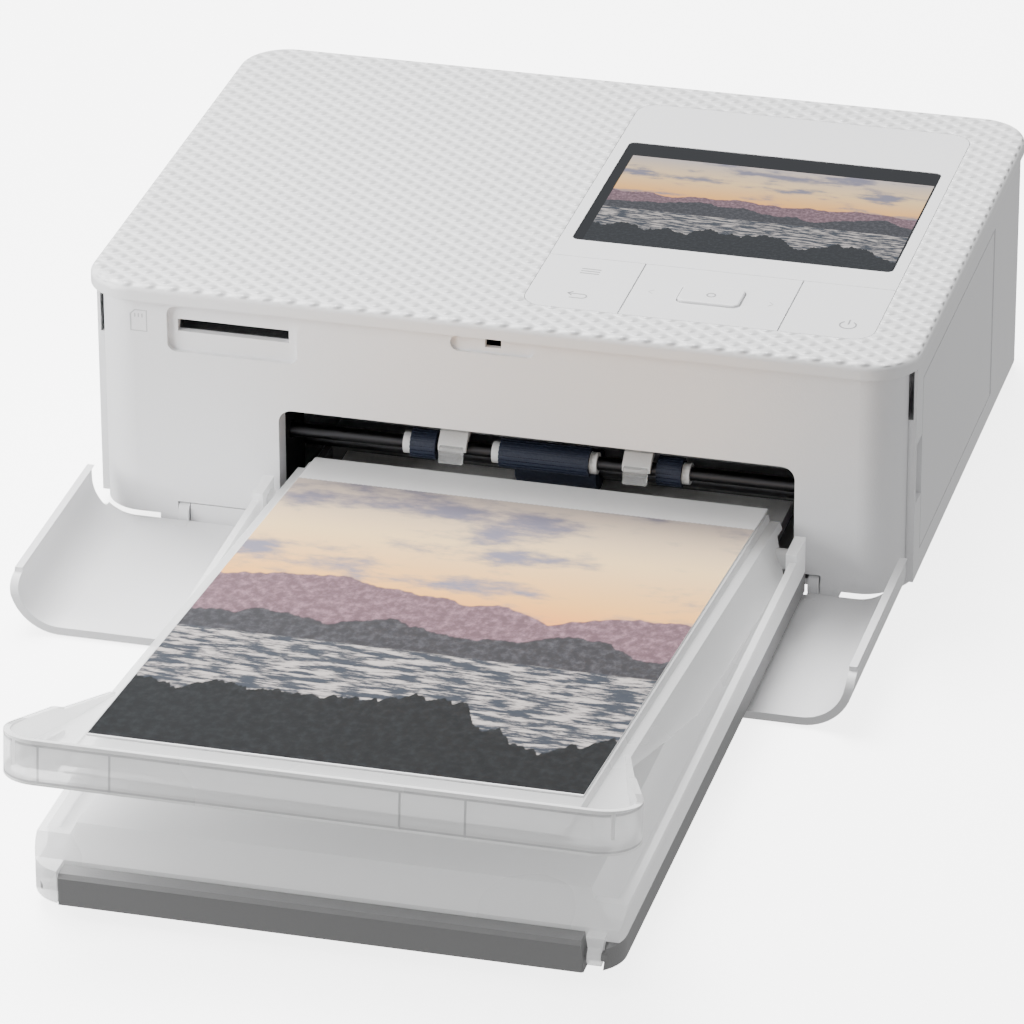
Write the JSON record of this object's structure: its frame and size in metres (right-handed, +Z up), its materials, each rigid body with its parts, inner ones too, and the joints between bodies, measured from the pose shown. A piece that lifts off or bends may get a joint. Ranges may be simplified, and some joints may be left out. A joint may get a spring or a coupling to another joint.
{
  "type": "compact photo printer",
  "caption": "Compact photo printer with an open front flap, a hinged paper cassette under a raised catching cover, a small display, flat keys, a side ink door and a driven paper path",
  "frame": {"origin": "On the table under the middle of the printer body's footprint, level with the underside of the rubber feet", "axes": "+X to the printer's right seen from the front, +Y to its back, +Z up"},
  "size_m": [0.1822, 0.3035, 0.0581],
  "materials": {
    "housing_white": "fine grained",
    "housing_pale": "matte",
    "fascia_white": "satin",
    "display_black": "polished",
    "motor_grey": "satin",
    "board_green": "satin",
    "inner_black": "matte",
    "guide_white": "matte",
    "guide_clear": "frosted",
    "steel_plate": "brushed",
    "steel_shaft": "ground",
    "roller_rubber": "matte",
    "gear_plastic": "matte",
    "brass_pinion": "machined",
    "ceramic_cream": "smooth",
    "heat_sink_aluminium": "as extruded",
    "ribbon_plastic": "fine grained",
    "ribbon_film": "smooth",
    "foot_rubber": "matte",
    "cassette_grey": "matte",
    "paper_white": "smooth",
    "cover_clear": "frosted",
    "print_paper": "glossy"
  },
  "bodies": {
    "printer": {"base_casing": "housing_pale", "wrap_casing": "housing_white", "front_moulding": "housing_white", "top_cover": "housing_white", "control_fascia": "fascia_white", "display_glass": "display_black", "lcd_module": "motor_grey", "button_board": "board_green", "throat_guide": "inner_black", "paper_fingers": "guide_white", "finger_tips": "guide_clear", "chassis_frame": "steel_plate", "drive_motor": "motor_grey", "motor_bracket": "steel_plate", "ribbon_case": "ribbon_plastic", "main_board": "board_green", "dc_jack": "inner_black", "usb_port": "steel_shaft", "card_socket": "steel_plate", "reader_board": "board_green", "rubber_feet": "foot_rubber", "case_screws": "steel_shaft"},
    "left_key": {"menu_key": "fascia_white"},
    "rocker": {"rocker_plate": "fascia_white"},
    "middle_key": {"ok_key": "fascia_white"},
    "right_key": {"power_key": "fascia_white"},
    "flap": {"front_flap": "housing_white"},
    "side_door": {"ink_door": "housing_white"},
    "platen": {"platen_roller": "roller_rubber", "platen_gear": "gear_plastic"},
    "motor_rotor": {"motor_pinion": "brass_pinion"},
    "idler": {"idler_gear": "gear_plastic"},
    "feed": {"feed_shaft": "steel_shaft", "feed_rollers": "roller_rubber", "roller_collars": "guide_white", "feed_gear": "gear_plastic"},
    "take_up": {"take_up_spool": "ribbon_film", "take_up_gear": "gear_plastic"},
    "supply": {"supply_spool": "ribbon_film"},
    "pickup": {"pickup_shaft": "steel_shaft", "pickup_roller": "roller_rubber"},
    "print_head": {"thermal_head": "ceramic_cream", "heat_sink": "heat_sink_aluminium", "head_arms": "steel_plate"},
    "cassette": {"cassette_base": "cassette_grey", "postcard_stack": "paper_white"},
    "cassette_lid": {"inner_cover": "cover_clear"},
    "catcher": {"outer_cover": "cover_clear"},
    "print": {"print_sheet": "print_paper"}
  },
  "joints": [
    {"name": "left_key_press", "type": "hinge", "parent": "printer", "child": "left_key", "pos_m": [0.01415, -0.02865, 0.057], "axis": [1, 0, 0], "range_deg": [0, 1.1], "stiffness_Nm_per_rad": 0.6},
    {"name": "rocker_tilt", "type": "hinge", "parent": "printer", "child": "rocker", "pos_m": [0.04225, -0.0413, 0.057], "axis": [0, 1, 0], "range_deg": [-0.9, 0.9], "stiffness_Nm_per_rad": 0.6},
    {"name": "middle_key_press", "type": "slide", "parent": "printer", "child": "middle_key", "axis": [0, 0, -1], "range_m": [0, 0.0004], "stiffness_N_per_m": 600},
    {"name": "right_key_press", "type": "hinge", "parent": "printer", "child": "right_key", "pos_m": [0.0697, -0.02865, 0.057], "axis": [1, 0, 0], "range_deg": [0, 1.1], "stiffness_Nm_per_rad": 0.6},
    {"name": "flap_hinge", "type": "hinge", "parent": "printer", "child": "flap", "pos_m": [0, -0.0623, 0.003], "axis": [-1, 0, 0], "range_deg": [0, 0.7]},
    {"name": "side_door_hinge", "type": "hinge", "parent": "printer", "child": "side_door", "pos_m": [0.0889, 0.0265, 0.028], "axis": [0, 0, 1], "range_deg": [0, 90]},
    {"name": "platen_turn", "type": "hinge", "parent": "printer", "child": "platen", "pos_m": [0.00925, -0.024, 0.0215], "axis": [1, 0, 0], "continuous": true},
    {"name": "motor_turn", "type": "hinge", "parent": "printer", "child": "motor_rotor", "pos_m": [-0.054, -0.0144, 0.0215], "axis": [1, 0, 0], "continuous": true},
    {"name": "idler_turn", "type": "hinge", "parent": "printer", "child": "idler", "pos_m": [-0.0528, -0.039, 0.0215], "axis": [1, 0, 0], "continuous": true},
    {"name": "feed_turn", "type": "hinge", "parent": "printer", "child": "feed", "pos_m": [0.00925, -0.054, 0.0215], "axis": [1, 0, 0], "continuous": true},
    {"name": "take_up_turn", "type": "hinge", "parent": "printer", "child": "take_up", "pos_m": [0.00925, -0.042, 0.03528], "axis": [1, 0, 0], "continuous": true},
    {"name": "supply_turn", "type": "hinge", "parent": "printer", "child": "supply", "pos_m": [0.00925, -0.004, 0.033], "axis": [1, 0, 0], "continuous": true},
    {"name": "pickup_turn", "type": "hinge", "parent": "printer", "child": "pickup", "pos_m": [0.00925, -0.042, 0.0138], "axis": [1, 0, 0], "continuous": true},
    {"name": "head_lift", "type": "hinge", "parent": "printer", "child": "print_head", "pos_m": [0.00925, 0.014, 0.0436], "axis": [-1, 0, 0], "range_deg": [0, 3]},
    {"name": "cassette_slide", "type": "slide", "parent": "printer", "child": "cassette", "axis": [0, -1, 0], "range_m": [0, 0.1]},
    {"name": "lid_hinge", "type": "hinge", "parent": "cassette", "child": "cassette_lid", "pos_m": [0.00925, -0.2291, 0.0056], "axis": [1, 0, 0], "range_deg": [0, 3.5]},
    {"name": "catcher_hinge", "type": "hinge", "parent": "cassette_lid", "child": "catcher", "pos_m": [0.00925, -0.0709, 0.0126], "axis": [-1, 0, 0], "range_deg": [-5.9, 20]},
    {"name": "print_lift", "type": "slide", "parent": "catcher", "child": "print", "axis": [0, -0.7071, 0.7071], "range_m": [0, 0.09]}
  ],
  "couplings": [
    {"joint": "motor_turn", "follows": "platen_turn", "ratio": -1.6667},
    {"joint": "idler_turn", "follows": "platen_turn", "ratio": -0.66667},
    {"joint": "feed_turn", "follows": "platen_turn", "ratio": 1},
    {"joint": "take_up_turn", "follows": "platen_turn", "ratio": 1.1765},
    {"joint": "supply_turn", "follows": "platen_turn", "ratio": 0.78431}
  ]
}
